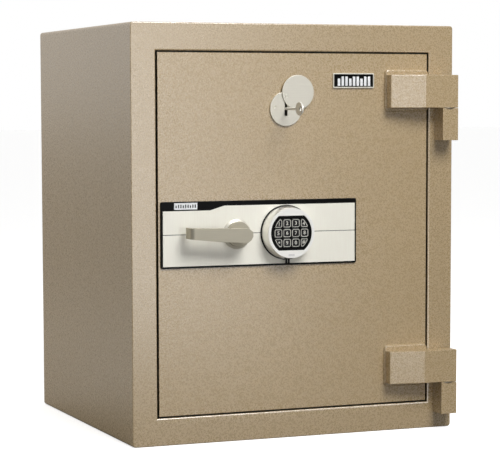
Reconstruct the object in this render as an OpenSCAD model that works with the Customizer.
// Fire-resistant document safe: steel body and door with a fire-resistant fill,
// external crank hinges, key lock, electronic lock and a lever handle.
// X runs across the front, Y into the safe and Z up.
// The origin is the centre of the base. Depths named "y" below are counted
// from the front face of the door frame, inwards.

/* [Body] */
// Overall width of the body
body_w = 564; // [540:1:620]
// Overall depth of the body, without handle and hinges
body_d = 502; // [480:1:620]
// Overall height of the body
body_h = 670; // [640:1:760]
// Rounding of the long edges
corner_r = 5; // [3:0.5:8]
// Thickness of the outer sheet
skin = 3; // [2:0.5:5]
// Thickness of the front frame
frame_t = 8; // [6:0.5:10]
// Depth of the storage space
interior_d = 330; // [250:1:340]
// Width of the storage space
interior_w = 416; // [300:1:430]
// Height of the storage space
interior_h = 526; // [400:1:540]

/* [Door] */
// Width of the door plate
door_w = 472; // [460:1:480]
// Height of the door plate
door_h = 576; // [560:1:590]
// Thickness of the door plate
plate_t = 6; // [5:0.5:6]
// Gap between door plate and frame at each side
side_gap = 3; // [2.5:0.5:4]
// Gap between door plate and frame above and below
end_gap = 2.5; // [2:0.5:4]
// Offset of the door from the middle of the body
door_shift = -1.5; // [-3:0.5:0]

/* [Hinges] */
// Height of one hinge half
hinge_half = 53.5; // [45:0.5:60]
// Distance from the top of the body to the top of the upper hinge
hinge_top = 81; // [70:1:120]
// Distance between the two hinges
hinge_pitch = 455; // [380:1:460]
// Radius of the hinge pin
pin_r = 6; // [5:0.5:7]

/* [Locks and handle] */
// Throw of the locking bolts
bolt_throw = 25; // [20:1:25]
// Radius of a locking bolt
bolt_r = 11; // [9:0.5:11]
// Horizontal place of the handle spindle
handle_x = -106; // [-112:1:-100]
// Horizontal place of the keypad and key
keypad_x = -21; // [-24:1:-16]
// Height of the keyhole above the keypad
key_above = 199; // [190:1:205]

/* [Hidden] */
KEY_NAMES = ["1", "2", "3", "4", "5", "6", "7", "8", "clear", "9", "0", "enter"];
$fn = 96;

paint = [0.72, 0.66, 0.54];
dark_paint = [0.58, 0.53, 0.44];
nickel = [0.82, 0.82, 0.78];
satin = [0.66, 0.64, 0.58];
steel = [0.60, 0.61, 0.62];
fill_colour = [0.86, 0.84, 0.78];
black = [0.08, 0.08, 0.08];
seal_colour = [0.25, 0.24, 0.23];
panel_colour = [0.90, 0.89, 0.85];

run_fit = 0.05;     // radial play of a running pin
loose_fit = 0.3;    // play of a sliding piece

// Door opening and the stepped jamb behind it
open_w = door_w + 2 * side_gap;
open_h = door_h + 2 * end_gap;
open_x0 = door_shift - open_w / 2;
open_x1 = door_shift + open_w / 2;
open_z0 = (body_h - open_h) / 2;
open_z1 = body_h - open_z0;
step_lock = 10.5;           // the jamb's step on the lock side
step_hinge = 15;            // on the hinge side
step_end = 13.5;            // above and below
jamb_x0 = open_x0 + step_lock;
jamb_x1 = open_x1 - step_hinge;
jamb_z0 = open_z0 + step_end;
jamb_z1 = open_z1 - step_end;
jamb_t = 3;
jamb_y1 = 104;

// Storage space
liner_t = 1.5;
in_x0 = -interior_w / 2;
in_x1 = interior_w / 2;
in_z0 = (body_h - interior_h) / 2;
in_z1 = in_z0 + interior_h;
in_y1 = jamb_y1 + interior_d;
panel_y0 = body_d - 2 * skin;

// Door plate, boltwork chamber and the fire block behind it
door_x0 = open_x0 + side_gap;
door_x1 = open_x1 - side_gap;
door_z0 = open_z0 + end_gap;
door_z1 = open_z1 - end_gap;
pan_t = 2;
swing_room = 8.5;           // lets the door's corner swing past the jamb
end_room = 6;
chamber_x0 = jamb_x0 + 5;
chamber_x1 = jamb_x1 - swing_room;
chamber_y1 = 46;
plug_x0 = jamb_x0 + 15;
plug_z0 = jamb_z0 + end_room;
plug_z1 = jamb_z1 - end_room;
plug_y1 = 96;
hard_t = 5;
hard_margin = 34;
hard_y1 = plate_t + hard_t;

// Hinges
hinge_y = -20;              // pin axis, in front of the frame
hinge_x = body_w / 2 - 20;  // pin axis
hinge_front = -31;
hinge_side = hinge_x + 15;
post_w = 28;
pad_t = 4;
pad_r = 6;
leaf_x0 = 158.5;
pad_rim = 2.2;              // pad beyond the leaf's free end
pad_below = 6.5;
pad_above = 9;
leaf_end_y = -21;
leaf_taper = 59;
leaf_back = -1.5;
collar_t = 0.5;
collar_rim = 7.5;
pin_down = 43.5;
pin_up = 40;
upper_leaf_z0 = body_h - hinge_top - hinge_half - collar_t;
leaf_heights = [upper_leaf_z0, upper_leaf_z0 - hinge_pitch];

// Boltwork layers
bar_y0 = 22;
bar_y1 = 30;
bar_y = (bar_y0 + bar_y1) / 2;
bar_x0 = -192;
bar_x1 = -136;
bar_half = 215;             // half its height
bolt_tip = chamber_x0 + 1;
bolt_heights = [body_h / 2 - 170, body_h / 2, body_h / 2 + 170];
stud_x = -174;
stud_r = 4;
stud_heights = [body_h / 2 - 115, body_h / 2 + 115];
handle_z = body_h / 2;
follower_r = 4;
cam_r0 = 22;                // spiral radius with the bolts withdrawn
cam_y0 = 31;
cam_y1 = 36;
spindle_r = 6;
bush_r = 10;
cable_r = 6;                // hole for the keypad's cable

// Locks
lock_y0 = hard_y1;
lock_y1 = 38;
key_x = keypad_x + 1;
key_z = body_h / 2 + key_above;
lock_half = 30;             // half the width of the key lock's case
keylock_h = 66;
keylock_z0 = key_z - 34;
elock_half = 31;
elock_z1 = body_h / 2 + elock_half;
elock_bolt_l = 19;
lock_bolt_w = 10;
slot_w = 4.8;
slot_h = 23;
shank_r = 2.2;
bit_r = 10.8;
bit_cavity_r = 12.5;

// Fascia, badge, escutcheon
fascia_x0 = -234.3;
fascia_x1 = 105;
fascia_z0 = body_h / 2 - 52.8;
fascia_z1 = body_h / 2 + 53.2;
fascia_y = -2.5;            // front of the black backing
panel_y = -3.7;             // front of the satin panel
badge_x = 100;
badge_z = 579.4;
badge_w = 73.6;
badge_h = 24.2;
disc_r = 27.6;
disc_t = 3.5;
pivot_r = 2.5;
cover_pivot = [0, 20.8];    // from the keyhole
cover_centre = [20, 26.5];  // from the keyhole, cover swung aside

// Keypad
keypad_z = body_h / 2 + 0.5;
keypad_r = 40.3;            // at its face
keypad_flare = 2.4;         // added to it at the back
keypad_y0 = -27.7;
recess_r = 35.5;
recess_half = 27.8;
recess_y1 = keypad_y0 + 5;
key_pitch_x = 15.2;
key_pitch_z = 15.7;
key_w = 13.6;
key_h = 13.4;
key_ring_r = 30.5;

// ---- helpers ----

// Places parts whose depths are counted from the front of the door frame.
module front() translate([0, -body_d / 2, 0]) children();

module block(x0, x1, y0, y1, z0, z1)
    translate([x0, y0, z0]) cube([x1 - x0, y1 - y0, z1 - z0]);

// Sweeps an outline drawn in X and Z from depth y0 to depth y1.
module slab(y0, y1)
    translate([0, y1, 0]) rotate([90, 0, 0]) linear_extrude(y1 - y0) children();

module peg_x(y, z, r, x0, x1)
    translate([x0, y, z]) rotate([0, 90, 0]) cylinder(h = x1 - x0, r = r);

module peg_y(x, z, r, y0, y1)
    translate([x, y1, z]) rotate([90, 0, 0]) cylinder(h = y1 - y0, r = r);

module peg_z(x, y, r, z0, z1)
    translate([x, y, z0]) cylinder(h = z1 - z0, r = r);

module rect(x0, x1, z0, z1)
    translate([x0, z0]) square([x1 - x0, z1 - z0]);

module rounded_rect(x0, x1, z0, z1, r) {
    rect(x0 + r, x1 - r, z0, z1);
    rect(x0, x1, z0 + r, z1 - r);
    for (x = [x0 + r, x1 - r])
        for (z = [z0 + r, z1 - r])
            translate([x, z]) circle(r);
}

// ---- body ----

anchor_x = 150;
anchor_y = 100;             // from the middle of the base
anchor_r = 7;
sleeve_r = 10;
module anchor_holes(r, z0, z1)
    for (x = [-anchor_x, anchor_x])
        for (y = [body_d / 2 - anchor_y, body_d / 2 + anchor_y])
            peg_z(x, y, r, z0, z1);

module outer_casing() color(paint) front() difference() {
    slab(0, body_d) rounded_rect(-body_w / 2, body_w / 2, 0, body_h, corner_r);
    block(-body_w / 2 + skin, body_w / 2 - skin, frame_t, body_d + 1, skin, body_h - skin);
    block(open_x0, open_x1, -1, frame_t + 1, open_z0, open_z1);
    anchor_holes(sleeve_r, -1, skin + 1);
}

module rear_panel() color(dark_paint) front()
    block(-body_w / 2 + skin, body_w / 2 - skin, panel_y0, panel_y0 + skin, skin, body_h - skin);

// The pocket in the hinge-side wall that takes the dog bar.
dog_z0 = body_h / 2 - bar_half;
dog_z1 = body_h / 2 + bar_half;
dog_y0 = 30;
dog_y1 = 44;
dog_out = 18;
dog_swing = 11;             // room in front of the dog bar for its swing
dog_room = 14;              // depth of its pocket in the fill
module dog_pocket(x1)
    block(jamb_x1 - 1, x1, dog_y0 - dog_swing, dog_y1 + 6, dog_z0 - 3, dog_z1 + 3);

module bolt_pockets(x0)
    for (z = bolt_heights)
        peg_x(bar_y, z, bolt_r + 1.5, x0, jamb_x0 + 1);

module body_fire_fill() color(fill_colour) front() difference() {
    block(-body_w / 2 + skin, body_w / 2 - skin, frame_t, panel_y0, skin, body_h - skin);
    block(jamb_x0 - jamb_t, jamb_x1 + jamb_t, 0, jamb_y1 + liner_t, jamb_z0 - jamb_t, jamb_z1 + jamb_t);
    block(open_x0 - jamb_t, open_x1 + jamb_t, 0, frame_t + jamb_t, open_z0 - jamb_t, open_z1 + jamb_t);
    block(in_x0 - liner_t, in_x1 + liner_t, 0, in_y1 + liner_t, in_z0 - liner_t, in_z1 + liner_t);
    dog_pocket(jamb_x1 + jamb_t + dog_room);
    bolt_pockets(jamb_x0 - bolt_throw - 1);
    anchor_holes(sleeve_r, 0, in_z0);
}

module door_jamb() color(dark_paint) front() difference() {
    union() {
        block(open_x0 - jamb_t, open_x1 + jamb_t, frame_t, frame_t + jamb_t,
              open_z0 - jamb_t, open_z1 + jamb_t);
        block(jamb_x0 - jamb_t, jamb_x1 + jamb_t, frame_t, jamb_y1, jamb_z0 - jamb_t, jamb_z1 + jamb_t);
    }
    block(jamb_x0, jamb_x1, 0, jamb_y1 + 1, jamb_z0, jamb_z1);
    dog_pocket(jamb_x1 + jamb_t + 1);
    bolt_pockets(jamb_x0 - jamb_t - 1);
}

// The liner's sheets: each wall has a flange that meets the back of the jamb.
module liner_sides() color(dark_paint) front() {
    block(in_x0 - liner_t, in_x0, jamb_y1, in_y1, in_z0, in_z1);
    block(jamb_x0 - jamb_t, in_x0, jamb_y1, jamb_y1 + liner_t, in_z0, in_z1);
    block(in_x1, in_x1 + liner_t, jamb_y1, in_y1, in_z0, in_z1);
    block(in_x1, jamb_x1 + jamb_t, jamb_y1, jamb_y1 + liner_t, in_z0, in_z1);
}

module liner_top_bottom() color(dark_paint) front() difference() {
    union() {
        block(in_x0 - liner_t, in_x1 + liner_t, jamb_y1, in_y1, in_z0 - liner_t, in_z0);
        block(jamb_x0 - jamb_t, jamb_x1 + jamb_t, jamb_y1, jamb_y1 + liner_t, jamb_z0 - jamb_t, in_z0);
        block(in_x0 - liner_t, in_x1 + liner_t, jamb_y1, in_y1, in_z1, in_z1 + liner_t);
        block(jamb_x0 - jamb_t, jamb_x1 + jamb_t, jamb_y1, jamb_y1 + liner_t, in_z1, jamb_z1 + jamb_t);
    }
    anchor_holes(sleeve_r, 0, in_z0 + 1);
}

module liner_back() color(dark_paint) front()
    block(in_x0 - liner_t, in_x1 + liner_t, in_y1, in_y1 + liner_t, in_z0 - liner_t, in_z1 + liner_t);

// Swelling fire seal round the step of the jamb.
seal_t = 1.5;
module seal_edge(out)
    rect(jamb_x0 - out, jamb_x1 + out, jamb_z0 - out, jamb_z1 + out);

module door_seal() color(seal_colour) front() slab(frame_t - seal_t, frame_t) difference() {
    seal_edge(7.5);
    seal_edge(1.5);
}

module hinge_posts() color(paint) front()
    for (z = leaf_heights)
        difference() {
            block(hinge_side - post_w, hinge_side, hinge_front, 0, z - hinge_half, z - collar_t);
            peg_z(hinge_x, hinge_y, pin_r, z - pin_down, z);
        }

// Each pin is fixed in its post and has a collar that the leaf turns on.
module hinge_pins() color(steel) front()
    for (z = leaf_heights) {
        peg_z(hinge_x, hinge_y, pin_r, z - pin_down, z + pin_up);
        peg_z(hinge_x, hinge_y, pin_r + collar_rim, z - collar_t, z);
    }

shelf_z = body_h / 2 - 5;
shelf_t = 2;
shelf_lip = 14;
shelf_y0 = jamb_y1 + 26;
shelf_y1 = in_y1 - 14;
module shelf() color(dark_paint) front() {
    block(in_x0 + 2, in_x1 - 2, shelf_y0, shelf_y1, shelf_z, shelf_z + shelf_t);
    for (y = [shelf_y0, shelf_y1 - shelf_t])
        block(in_x0 + 2, in_x1 - 2, y, y + shelf_t, shelf_z - shelf_lip, shelf_z);
}

clip_size = [10, 18, 7];
clip_inset = 34;            // from the shelf's front and back edges
module shelf_clips() color(steel) front()
    for (x = [in_x0, in_x1 - clip_size[0]])
        for (y = [shelf_y0 + clip_inset, shelf_y1 - clip_inset - clip_size[1]])
            translate([x, y, shelf_z - clip_size[2]]) cube(clip_size);

module anchor_sleeves() color(steel) front() difference() {
    anchor_holes(sleeve_r, 0, in_z0);
    anchor_holes(anchor_r, -1, in_z0 + 1);
}

// ---- door ----

module keyhole(y0, y1, grow)
    block(key_x - slot_w / 2 - grow, key_x + slot_w / 2 + grow, y0, y1,
          key_z - slot_h / 2 - grow, key_z + slot_h / 2 + grow);

module door_plate() color(paint) front() difference() {
    block(door_x0, door_x1, 0, plate_t, door_z0, door_z1);
    keyhole(-1, plate_t + 1, 0.4);
    peg_y(handle_x, handle_z, bush_r, -1, plate_t + 1);
    peg_y(keypad_x, keypad_z, cable_r, -1, plate_t + 1);
}

module door_pan() color(dark_paint) front() difference() {
    block(chamber_x0, chamber_x1, plate_t, chamber_y1, plug_z0, plug_z1);
    block(chamber_x0 + pan_t, chamber_x1 - pan_t, plate_t - 1, chamber_y1 - pan_t,
          plug_z0 + pan_t, plug_z1 - pan_t);
    for (z = bolt_heights)
        peg_x(bar_y, z, bolt_r + bush_wall, chamber_x0 - 1, chamber_x0 + pan_t + 1);
}

module door_fire_fill() color(fill_colour) front()
    block(plug_x0 + pan_t, chamber_x1 - pan_t, chamber_y1, plug_y1 - pan_t, plug_z0 + pan_t, plug_z1 - pan_t);

module door_back_cover() color(dark_paint) front() difference() {
    block(plug_x0, chamber_x1, chamber_y1, plug_y1, plug_z0, plug_z1);
    block(plug_x0 + pan_t, chamber_x1 - pan_t, chamber_y1 - 1, plug_y1 - pan_t,
          plug_z0 + pan_t, plug_z1 - pan_t);
}

module hardplate() color(steel) front() difference() {
    block(handle_x - hard_margin, keypad_x + 61, plate_t, hard_y1, handle_z - 45, key_z + hard_margin);
    keyhole(plate_t - 1, hard_y1 + 1, 0.4);
    peg_y(handle_x, handle_z, bush_r, plate_t - 1, hard_y1 + 1);
    peg_y(keypad_x, keypad_z, cable_r, plate_t - 1, hard_y1 + 1);
}

// Plan outline of the crank leaf: it thins towards its free end, and its
// back is round about the pin so that it clears the frame as it swings.
module leaf_plan() {
    polygon([[leaf_x0, -pad_t], [leaf_x0, leaf_end_y], [leaf_x0 + leaf_taper, hinge_front],
             [hinge_side, hinge_front], [hinge_side, hinge_y], [hinge_x, hinge_y],
             [hinge_x, leaf_back], [door_x1 + 1, leaf_back], [door_x1 + 1, -pad_t]]);
    intersection() {
        translate([hinge_x, hinge_y]) circle(hinge_side - hinge_x);
        translate([hinge_x - 1, hinge_y - 1]) square(hinge_side - hinge_x + 1);
    }
}

module hinge_leaves() color(paint) front()
    for (z = leaf_heights)
        difference() {
            translate([0, 0, z]) linear_extrude(hinge_half + collar_t) leaf_plan();
            peg_z(hinge_x, hinge_y, pin_r + run_fit, z - 1, z + pin_up + 1.5);
        }

// Raised pads on the door plate that carry the leaves.
module hinge_pads() color(paint) front()
    for (z = leaf_heights) {
        top = z + hinge_half + collar_t + pad_above;
        slab(-pad_t, 0) {
            rounded_rect(leaf_x0 - pad_rim, door_x1, z - pad_below, top, pad_r);
            rect(door_x1 - pad_r - 1, door_x1, z - pad_below, top);
        }
    }

module fascia_backplate() color(black) front() difference() {
    slab(fascia_y, 0) rounded_rect(fascia_x0, fascia_x1, fascia_z0, fascia_z1, 3);
    peg_y(handle_x, handle_z, bush_r, fascia_y - 1, 1);
    peg_y(keypad_x, keypad_z, cable_r, fascia_y - 1, 1);
}

// Satin panel: thin border, with a deeper band above its left end.
border = 3.3;
band_x = -151;
band_run = 24;
band_deep = 14.7;
band_thin = 7.6;
groove_z = handle_z + 0.4;
groove_w = 1;
groove_depth = 0.5;
module fascia_panel() color(panel_colour) front() difference() {
    slab(panel_y, fascia_y) polygon([
        [fascia_x0 + border, fascia_z0 + border],
        [fascia_x1 - border, fascia_z0 + border],
        [fascia_x1 - border, fascia_z1 - band_thin],
        [band_x + band_run, fascia_z1 - band_thin],
        [band_x, fascia_z1 - band_deep],
        [fascia_x0 + border, fascia_z1 - band_deep]]);
    block(fascia_x0 - 1, fascia_x1 + 1, panel_y - 1, panel_y + groove_depth, groove_z, groove_z + groove_w);
    peg_y(handle_x, handle_z, bush_r, panel_y - 1, 0);
    peg_y(keypad_x, keypad_z, cable_r, panel_y - 1, 0);
}

module badge_outline(inset, r)
    rounded_rect(badge_x - badge_w / 2 + inset, badge_x + badge_w / 2 - inset,
                 badge_z - badge_h / 2 + inset, badge_z + badge_h / 2 - inset, r);

badge_rim = 2;
module badge_bezel() color(nickel) front() slab(-3, 0) difference() {
    badge_outline(0, badge_rim);
    badge_outline(badge_rim, 1);
}

module badge_plate() color(black) front()
    slab(-2, 0) badge_outline(badge_rim, 1);

// Screws sit left and right of the keyhole, on a line turned a little.
fix_r = 20.5;
fix_turn = -8.5;
screw_r = 2.6;
rivet_head = 2.6;
function fix_at(side) = [key_x + side * fix_r * cos(fix_turn), key_z + side * fix_r * sin(fix_turn)];

module key_escutcheon() color(nickel) front() difference() {
    peg_y(key_x, key_z, disc_r, -disc_t, 0);
    keyhole(-disc_t - 1, 1, 0);
    for (side = [-1, 1])
        peg_y(fix_at(side)[0], fix_at(side)[1], screw_r, -disc_t - 1, -disc_t + 1.5);
    peg_y(key_x + cover_pivot[0], key_z + cover_pivot[1], pivot_r, -disc_t - 1, 1);
}

// Two countersunk screw heads and the rivet that the cover swings on.
module escutcheon_fixings() color(steel) front() {
    for (side = [-1, 1])
        difference() {
            peg_y(fix_at(side)[0], fix_at(side)[1], screw_r, -disc_t, -disc_t + 1.5);
            peg_y(fix_at(side)[0], fix_at(side)[1], 1.1, -disc_t - 1, -disc_t + 0.8);
        }
    peg_y(key_x + cover_pivot[0], key_z + cover_pivot[1], pivot_r, -disc_t - rivet_head, 0);
}

module escutcheon_cover() color(nickel) front() difference() {
    peg_y(key_x + cover_centre[0], key_z + cover_centre[1], disc_r, -disc_t - 2.2, -disc_t - 0.4);
    peg_y(key_x + cover_pivot[0], key_z + cover_pivot[1], pivot_r + run_fit, -disc_t - 3, -disc_t);
}

rose_r = 24;
rose_y = -7.2;
rose_rim = 1.2;             // height of the rose's straight edge
rose_slope = 4;             // width of its sloped ring
rose_hole_r = spindle_r + 1;
module handle_rose() color(nickel) front()
    translate([handle_x, panel_y, handle_z]) rotate([90, 0, 0]) rotate_extrude()
        polygon([[rose_hole_r, 0], [rose_r, 0], [rose_r, rose_rim],
                 [rose_r - rose_slope, panel_y - rose_y], [rose_hole_r, panel_y - rose_y]]);

module spindle_bush() color([0.75, 0.62, 0.32]) front() difference() {
    peg_y(handle_x, handle_z, bush_r, panel_y, hard_y1);
    peg_y(handle_x, handle_z, spindle_r + run_fit, panel_y - 1, hard_y1 + 1);
}

// ---- lever handle: flat tapered bar with a return at its tip ----

lever_y0 = -40;
lever_t = 9;
lever_reach = 91;
return_y = -16;
return_t = 7;
bend_r = 8;
hub_end = 14;               // how far the bar runs past the spindle
boss_r = 20;
boss_y0 = -13;
boss_y1 = rose_y - 0.4;

module lever_face()
    polygon([[-lever_reach, 12.8], [-lever_reach, -4.5], [-34, -10.5], [4, -13], [10.5, -8.5],
             [hub_end, -3], [hub_end, 4.5], [6, 10.8]]);

module lever_plan() {
    translate([-lever_reach + bend_r, lever_y0]) square([lever_reach - bend_r + hub_end, lever_t]);
    translate([-lever_reach, lever_y0 + bend_r]) square([return_t, return_y - lever_y0 - bend_r]);
    translate([-lever_reach + bend_r, lever_y0 + bend_r]) circle(bend_r);
}

module handle_lever() color(satin) front() difference() {
    union() {
        translate([handle_x, 0, handle_z]) intersection() {
            slab(lever_y0 - 1, return_y + 1) lever_face();
            translate([0, 0, -20]) linear_extrude(40) lever_plan();
        }
        peg_y(handle_x, handle_z - 1, 10, lever_y0 + lever_t - 1, boss_y0 + 1);
        peg_y(handle_x, handle_z, boss_r, boss_y0, boss_y1);
    }
    peg_y(handle_x, handle_z, spindle_r, lever_y0 + lever_t + 2, 0);
}

module handle_spindle() color(steel) front()
    peg_y(handle_x, handle_z, spindle_r, lever_y0 + lever_t + 2, cam_y1 + 4);

// ---- scroll cam: a spiral slot gives the bolt bar an even travel ----

function cam_radius(turn) = cam_r0 + bolt_throw * turn / 90;
function cam_slope(turn) = atan(bolt_throw / (PI / 2) / cam_radius(turn));
// A point beside the spiral: "side" is its distance outwards, square to the curve.
function cam_point(turn, side) =
    let (a = 180 - turn, n = a + cam_slope(turn))
    cam_radius(turn) * [cos(a), sin(a)] + side * [cos(n), sin(n)];
// Points round an end of a band, between two directions against its heading.
function cam_cap(turn, half, from, to) =
    let (heading = 90 - turn + cam_slope(turn))
    [for (b = [from : -15 : to]) cam_point(turn, 0) + half * [cos(heading + b), sin(heading + b)]];
function cam_edge(side) = [for (t = [0 : 3 : 90]) cam_point(t, side)];

module cam_slot(half)
    polygon(concat(cam_edge(half), cam_cap(90, half, 75, -75),
                   [for (t = [90 : -3 : 0]) cam_point(t, -half)], cam_cap(0, half, -105, -255)));

hub_r = 16;
module cam_outline(half)
    polygon(concat(cam_edge(half), cam_cap(90, half, 75, -75), [cam_point(90, -half)],
                   [for (a = [60 : -15 : -150]) hub_r * [cos(a), sin(a)]],
                   cam_cap(0, half, -180, -255)));

module cam_plate() color(steel) front() difference() {
    translate([handle_x, 0, handle_z]) slab(cam_y0, cam_y1) difference() {
        cam_outline(follower_r + loose_fit + 6);
        cam_slot(follower_r + loose_fit);
    }
    peg_y(handle_x, handle_z, spindle_r, cam_y0 - 1, cam_y1 + 1);
}

// ---- boltwork ----

// Bushes that the bolts slide in, and headed studs that the bar slides on.
bush_l = 7;
bush_wall = 4;
stud_head = 3;
module bolt_guides() color(steel) front() {
    for (z = bolt_heights)
        difference() {
            peg_x(bar_y, z, bolt_r + bush_wall, chamber_x0, chamber_x0 + bush_l);
            peg_x(bar_y, z, bolt_r + loose_fit, chamber_x0 - 1, chamber_x0 + bush_l + 1);
        }
    for (z = stud_heights) {
        peg_y(stud_x, z, stud_r, plate_t, bar_y1 + 0.5);
        peg_y(stud_x, z, stud_r + 4, bar_y1 + 0.5, bar_y1 + 0.5 + stud_head);
    }
}

module dog_bar() color(steel) front()
    block(chamber_x1, chamber_x1 + dog_out, dog_y0, dog_y1, dog_z0, dog_z1);

follower_x = handle_x - cam_r0;
bolt_hold = 16;             // length of the bolt that grips the bar
rivet_r = 3;

// A horizontal arm of the bar, with a tab at its end for a lock bolt to block.
// It lies under a case edge at height z if side is -1, and over it if side is 1.
arm_near = 18;
arm_far = 30;
tab_near = 6;
module lock_arm(z, side, lock_x) {
    tab_x = lock_x + lock_bolt_w / 2 + 1.5;
    zs = [for (d = [arm_near, arm_far]) z + side * d];
    tabs = [for (d = [tab_near, arm_near + 1]) z + side * d];
    rect(bar_x1 - 1, tab_x + lock_bolt_w, min(zs), max(zs));
    rect(tab_x, tab_x + lock_bolt_w, min(tabs), max(tabs));
}

module bolt_bar() color(steel) front() difference() {
    slab(bar_y0, bar_y1) difference() {
        union() {
            rect(bar_x0, bar_x1, body_h / 2 - bar_half, body_h / 2 + bar_half);
            rect(bar_x1 - 1, follower_x + 8, handle_z - 10, handle_z + 10);
            lock_arm(keylock_z0, -1, key_x);
            lock_arm(elock_z1, 1, keypad_x);
        }
        for (z = stud_heights) {
            rect(stud_x, stud_x + bolt_throw, z - stud_r - loose_fit, z + stud_r + loose_fit);
            for (x = [stud_x, stud_x + bolt_throw])
                translate([x, z]) circle(stud_r + loose_fit);
        }
        for (z = bolt_heights)
            translate([bar_x0 + bolt_hold / 2, z]) circle(rivet_r);
        translate([follower_x, handle_z]) circle(follower_r);
    }
}

// Rivets through the bolts, and the follower pin that runs in the cam.
module bar_rivets() color(steel) front() {
    for (z = bolt_heights)
        peg_y(bar_x0 + bolt_hold / 2, z, rivet_r, bar_y0 - 4, bar_y1 + 4);
    peg_y(follower_x, handle_z, follower_r, bar_y0, cam_y1 + 0.5);
}

module locking_bolts() color(nickel) front() difference() {
    for (z = bolt_heights)
        peg_x(bar_y, z, bolt_r, bolt_tip, bar_x0 + bolt_hold);
    block(bar_x0, bar_x0 + bolt_hold + 1, bar_y0, bar_y1, 0, body_h);
    for (z = bolt_heights)
        peg_y(bar_x0 + bolt_hold / 2, z, rivet_r, bar_y0 - 4, bar_y1 + 4);
}

// ---- locks ----

module lock_bolt_channel(x, z0, z1)
    block(x - lock_bolt_w / 2 - loose_fit, x + lock_bolt_w / 2 + loose_fit,
          bar_y0 - loose_fit, bar_y1 + loose_fit, z0, z1);

module keylock_case() color(satin) front() difference() {
    block(key_x - lock_half, key_x + lock_half, lock_y0, lock_y1, keylock_z0, keylock_z0 + keylock_h);
    keyhole(lock_y0 - 1, bar_y0 - 2, 0.4);
    peg_y(key_x, key_z, bit_cavity_r, bar_y0 - 3, lock_y1 - 3);
    lock_bolt_channel(key_x, keylock_z0 - 1, key_z - bit_cavity_r + 1);
}

module keylock_bolt() color(steel) front()
    block(key_x - lock_bolt_w / 2, key_x + lock_bolt_w / 2, bar_y0, bar_y1,
          keylock_z0 + 1, key_z - bit_cavity_r - 0.5);

// The key: a flat oval bow with a ring hole, a round shank and two stepped bits.
shank_y0 = -45;
bow_y = -57.5;
bow_half = [13, 10.5];      // along the shank and across it
key_t = 2.6;
ring_y = -64;
ring_r = 4;
bit_y0 = bar_y0 - 2;
bit_steps = [bit_r, bit_r - 2, bit_r - 0.8, bit_r - 2.6, bit_r];
bit_step_w = (lock_y1 - 6 - bit_y0) / len(bit_steps);

module lockkey_bow() color(nickel) front() difference() {
    translate([key_x - key_t / 2, bow_y, key_z]) rotate([90, 0, 90]) linear_extrude(key_t)
        polygon([for (a = [0 : 5 : 355]) [bow_half[0] * cos(a), bow_half[1] * sin(a)]]);
    peg_x(ring_y, key_z, ring_r, key_x - key_t, key_x + key_t);
    peg_y(key_x, key_z, shank_r, shank_y0, 0);
}

module lockkey_shank() color(nickel) front()
    peg_y(key_x, key_z, shank_r, shank_y0, lock_y1 - 5);

module lockkey_bits() color(nickel) front() difference() {
    for (i = [0 : len(bit_steps) - 1])
        block(key_x - key_t / 2, key_x + key_t / 2, bit_y0 + i * bit_step_w, bit_y0 + (i + 1) * bit_step_w,
              key_z - bit_steps[i], key_z + bit_steps[i]);
    peg_y(key_x, key_z, shank_r, bit_y0 - 1, lock_y1);
}

module elock_case() color(satin) front() difference() {
    block(keypad_x - elock_half, keypad_x + elock_half, lock_y0, lock_y1,
          elock_z1 - 2 * elock_half, elock_z1);
    lock_bolt_channel(keypad_x, elock_z1 - elock_bolt_l - 1.5, elock_z1 + 1);
    peg_y(keypad_x, keypad_z, 4, lock_y0 - 1, lock_y0 + 8);
}

module elock_bolt() color(steel) front()
    block(keypad_x - lock_bolt_w / 2, keypad_x + lock_bolt_w / 2, bar_y0, bar_y1,
          elock_z1 - 1 - elock_bolt_l, elock_z1 - 1);

// ---- keypad ----

drawer_w = 24;
drawer_y0 = keypad_y0 + 6.5;
drawer_y1 = -8;
drawer_z0 = keypad_z - 37.8;
drawer_z1 = keypad_z + 8;
prong_w = 2.2;
prong_l = 12.2;

base_t = 2.5;
base_rim = 1.5;
module keypad_base() color(black) front() difference() {
    peg_y(keypad_x, keypad_z, keypad_r + keypad_flare + base_rim, panel_y - base_t, panel_y);
    peg_y(keypad_x, keypad_z, cable_r, panel_y - base_t - 1, panel_y + 1);
}

module keypad_field(grow)
    intersection() {
        circle(recess_r + grow);
        square([2 * recess_r + 2, 2 * (recess_half + grow)], center = true);
    }

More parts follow.
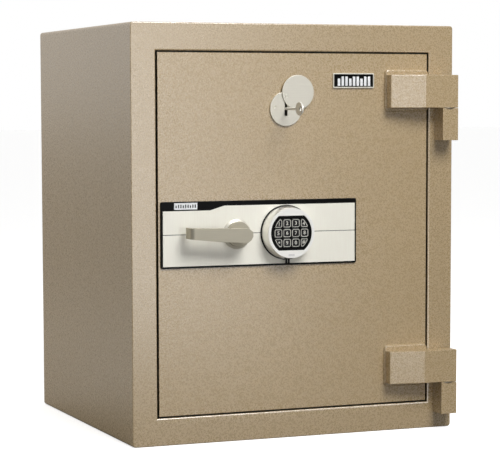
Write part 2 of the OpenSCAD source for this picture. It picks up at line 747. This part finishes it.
module keypad_housing() color(nickel) front() difference() {
    translate([keypad_x, panel_y - base_t, keypad_z]) rotate([90, 0, 0])
        cylinder(h = panel_y - base_t - keypad_y0, r1 = keypad_r + keypad_flare, r2 = keypad_r);
    translate([keypad_x, 0, keypad_z]) slab(keypad_y0 - 1, recess_y1) keypad_field(0);
    block(keypad_x - drawer_w / 2 - loose_fit, keypad_x + drawer_w / 2 + loose_fit,
          drawer_y0 - loose_fit, drawer_y1 + loose_fit,
          keypad_z - keypad_r - keypad_flare - 1, drawer_z1 + 1);
}

key_round = 2.6;
module key_outline(i, grow) intersection() {
    translate([(i % 4 - 1.5) * key_pitch_x, (1 - floor(i / 4)) * key_pitch_z])
        rounded_rect(-key_w / 2 - grow, key_w / 2 + grow, -key_h / 2 - grow, key_h / 2 + grow, key_round);
    circle(key_ring_r + grow);
}

module keypad_inset() color(black) front() translate([keypad_x, 0, keypad_z])
    slab(keypad_y0 + 1, keypad_y0 + 4) difference() {
        keypad_field(0);
        for (i = [0 : len(KEY_NAMES) - 1])
            key_outline(i, loose_fit);
    }

module key_button(i) color(black) front() translate([keypad_x, 0, keypad_z])
    slab(keypad_y0 + 0.2, keypad_y0 + 3) key_outline(i, 0);

module battery_drawer() color(black) front() {
    block(keypad_x - drawer_w / 2, keypad_x + drawer_w / 2, drawer_y0, drawer_y1, drawer_z0, drawer_z1);
    for (x = [keypad_x - 1 - prong_w, keypad_x + 1])
        block(x, x + prong_w, drawer_y1 - 5, drawer_y1 - 1, drawer_z0 - prong_l, drawer_z0 + 1);
}

// ---- assembly ----

outer_casing();
rear_panel();
body_fire_fill();
liner_sides();
liner_top_bottom();
liner_back();
door_jamb();
door_seal();
hinge_posts();
hinge_pins();
shelf();
shelf_clips();
anchor_sleeves();
door_plate();
door_pan();
door_fire_fill();
door_back_cover();
hardplate();
hinge_leaves();
hinge_pads();
fascia_backplate();
fascia_panel();
badge_bezel();
badge_plate();
key_escutcheon();
escutcheon_fixings();
escutcheon_cover();
handle_rose();
spindle_bush();
handle_lever();
handle_spindle();
cam_plate();
bolt_guides();
dog_bar();
bolt_bar();
bar_rivets();
locking_bolts();
keylock_case();
keylock_bolt();
lockkey_bow();
lockkey_shank();
lockkey_bits();
elock_case();
elock_bolt();
keypad_base();
keypad_housing();
keypad_inset();
battery_drawer();
for (i = [0 : len(KEY_NAMES) - 1])
    key_button(i);
